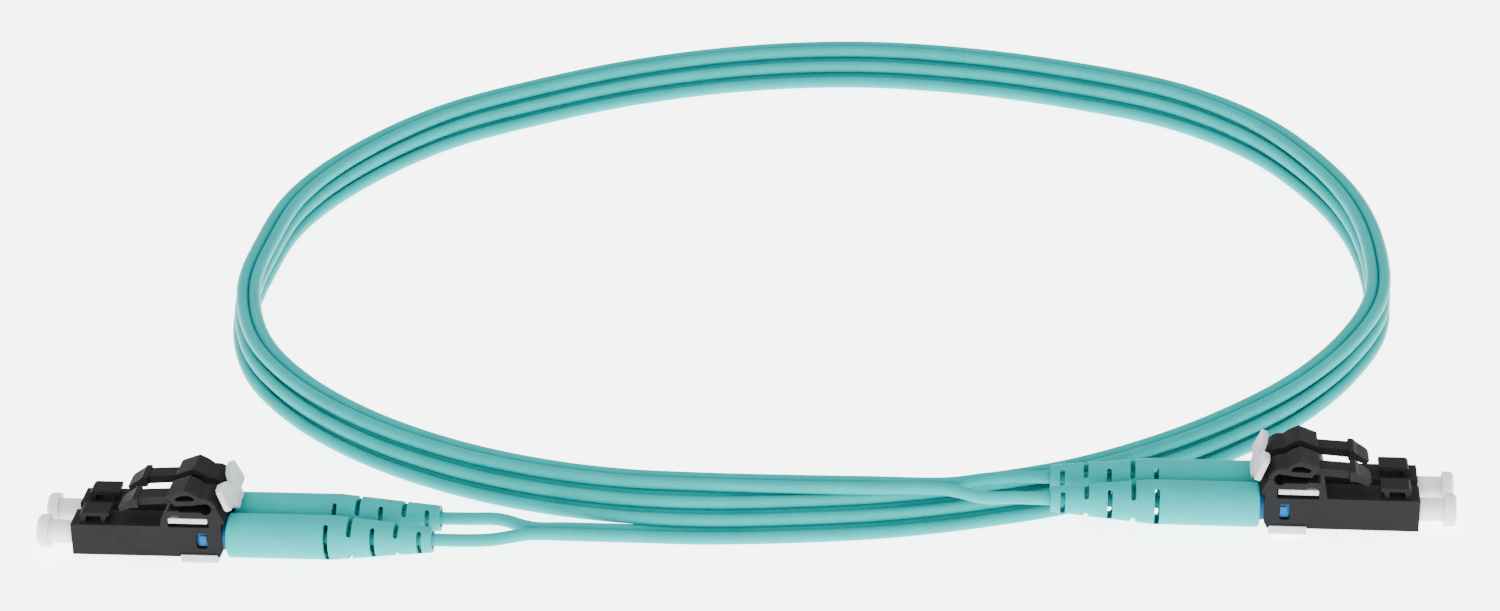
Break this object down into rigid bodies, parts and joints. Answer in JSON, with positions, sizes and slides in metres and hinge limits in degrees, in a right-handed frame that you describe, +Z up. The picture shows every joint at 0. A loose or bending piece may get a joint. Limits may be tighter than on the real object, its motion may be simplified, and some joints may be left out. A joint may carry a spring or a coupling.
{
  "type": "fiber optic patch cord",
  "caption": "Duplex fiber optic patch cord: coiled figure-8 zip cord with capped, clipped push-pull plugs, latch arms and slotted boots.",
  "frame": {"origin": "on the floor, under the middle of the box round the two plugs", "axes": "+X from the left plug towards the right plug, +Y from the plugs across the coil, +Z up from the table"},
  "size_m": [0.1892, 0.167, 0.0114],
  "materials": {
    "dark_grey_plastic": "satin moulded",
    "blue_plastic": "satin moulded",
    "zirconia": "polished ceramic",
    "nickel": "nickel plated, turned",
    "spring_steel": "drawn wire",
    "fiber": "glass fiber with clear buffer",
    "crimp_metal": "crimped",
    "boot_aqua": "soft matt moulding",
    "cap_white": "translucent moulding",
    "clip_white": "satin moulded",
    "cord_aqua": "satin extruded jacket"
  },
  "bodies": {
    "cord_and_plugs": {"left_near_housing": "dark_grey_plastic", "left_near_inner_body": "blue_plastic", "left_near_spring": "spring_steel", "left_near_crimp_sleeve": "crimp_metal", "left_near_boot": "boot_aqua", "left_near_cord_leg": "cord_aqua", "left_far_housing": "dark_grey_plastic", "left_far_inner_body": "blue_plastic", "left_far_spring": "spring_steel", "left_far_crimp_sleeve": "crimp_metal", "left_far_boot": "boot_aqua", "left_far_cord_leg": "cord_aqua", "left_duplex_clip": "clip_white", "right_near_housing": "dark_grey_plastic", "right_near_inner_body": "blue_plastic", "right_near_spring": "spring_steel", "right_near_crimp_sleeve": "crimp_metal", "right_near_boot": "boot_aqua", "right_near_cord_leg": "cord_aqua", "right_far_housing": "dark_grey_plastic", "right_far_inner_body": "blue_plastic", "right_far_spring": "spring_steel", "right_far_crimp_sleeve": "crimp_metal", "right_far_boot": "boot_aqua", "right_far_cord_leg": "cord_aqua", "right_duplex_clip": "clip_white", "cord_lead_left": "cord_aqua", "cord_coil": "cord_aqua", "cord_lead_right": "cord_aqua"},
    "left_near_latch": {"left_near_latch_arm": "dark_grey_plastic"},
    "left_near_ferrule_group": {"left_near_ferrule": "zirconia", "left_near_ferrule_holder": "nickel", "left_near_optical_fiber": "fiber"},
    "left_near_cap": {"left_near_dust_cap": "cap_white"},
    "left_far_latch": {"left_far_latch_arm": "dark_grey_plastic"},
    "left_far_ferrule_group": {"left_far_ferrule": "zirconia", "left_far_ferrule_holder": "nickel", "left_far_optical_fiber": "fiber"},
    "left_far_cap": {"left_far_dust_cap": "cap_white"},
    "right_near_latch": {"right_near_latch_arm": "dark_grey_plastic"},
    "right_near_ferrule_group": {"right_near_ferrule": "zirconia", "right_near_ferrule_holder": "nickel", "right_near_optical_fiber": "fiber"},
    "right_near_cap": {"right_near_dust_cap": "cap_white"},
    "right_far_latch": {"right_far_latch_arm": "dark_grey_plastic"},
    "right_far_ferrule_group": {"right_far_ferrule": "zirconia", "right_far_ferrule_holder": "nickel", "right_far_optical_fiber": "fiber"},
    "right_far_cap": {"right_far_dust_cap": "cap_white"}
  },
  "joints": [
    {"name": "left_near_cap_pull", "type": "slide", "parent": "cord_and_plugs", "child": "left_near_cap", "axis": [-1, 0, 0], "range_m": [0, 0.008]},
    {"name": "left_near_latch_press", "type": "hinge", "parent": "cord_and_plugs", "child": "left_near_latch", "pos_m": [-0.0711, -0.01112, 0.0079], "axis": [0, -1, 0], "range_deg": [0, 4], "stiffness_Nm_per_rad": 0.4, "springref_deg": -0.57},
    {"name": "left_near_ferrule_float", "type": "slide", "parent": "cord_and_plugs", "child": "left_near_ferrule_group", "axis": [1, 0, 0], "range_m": [0, 0.0008], "stiffness_N_per_m": 1000, "springref_m": -0.002, "deforming": ["left_near_spring"]},
    {"name": "left_far_cap_pull", "type": "slide", "parent": "cord_and_plugs", "child": "left_far_cap", "axis": [-1, 0, 0], "range_m": [0, 0.008]},
    {"name": "left_far_latch_press", "type": "hinge", "parent": "cord_and_plugs", "child": "left_far_latch", "pos_m": [-0.0711, -0.00487, 0.0079], "axis": [0, -1, 0], "range_deg": [0, 4], "stiffness_Nm_per_rad": 0.4, "springref_deg": -0.57},
    {"name": "left_far_ferrule_float", "type": "slide", "parent": "cord_and_plugs", "child": "left_far_ferrule_group", "axis": [1, 0, 0], "range_m": [0, 0.0008], "stiffness_N_per_m": 1000, "springref_m": -0.002, "deforming": ["left_far_spring"]},
    {"name": "right_near_cap_pull", "type": "slide", "parent": "cord_and_plugs", "child": "right_near_cap", "axis": [0.9927, 0.1043, -0.0602], "range_m": [0, 0.008]},
    {"name": "right_near_latch_press", "type": "hinge", "parent": "cord_and_plugs", "child": "right_near_latch", "pos_m": [0.07111, 0.00317, 0.00857], "axis": [-0.1045, 0.9945, 0], "range_deg": [0, 4], "stiffness_Nm_per_rad": 0.4, "springref_deg": -0.57},
    {"name": "right_near_ferrule_float", "type": "slide", "parent": "cord_and_plugs", "child": "right_near_ferrule_group", "axis": [-0.9927, -0.1043, 0.0602], "range_m": [0, 0.0008], "stiffness_N_per_m": 1000, "springref_m": -0.002, "deforming": ["right_near_spring"]},
    {"name": "right_far_cap_pull", "type": "slide", "parent": "cord_and_plugs", "child": "right_far_cap", "axis": [0.9927, 0.1043, -0.0602], "range_m": [0, 0.008]},
    {"name": "right_far_latch_press", "type": "hinge", "parent": "cord_and_plugs", "child": "right_far_latch", "pos_m": [0.07045, 0.00939, 0.00857], "axis": [-0.1045, 0.9945, 0], "range_deg": [0, 4], "stiffness_Nm_per_rad": 0.4, "springref_deg": -0.57},
    {"name": "right_far_ferrule_float", "type": "slide", "parent": "cord_and_plugs", "child": "right_far_ferrule_group", "axis": [-0.9927, -0.1043, 0.0602], "range_m": [0, 0.0008], "stiffness_N_per_m": 1000, "springref_m": -0.002, "deforming": ["right_far_spring"]}
  ]
}
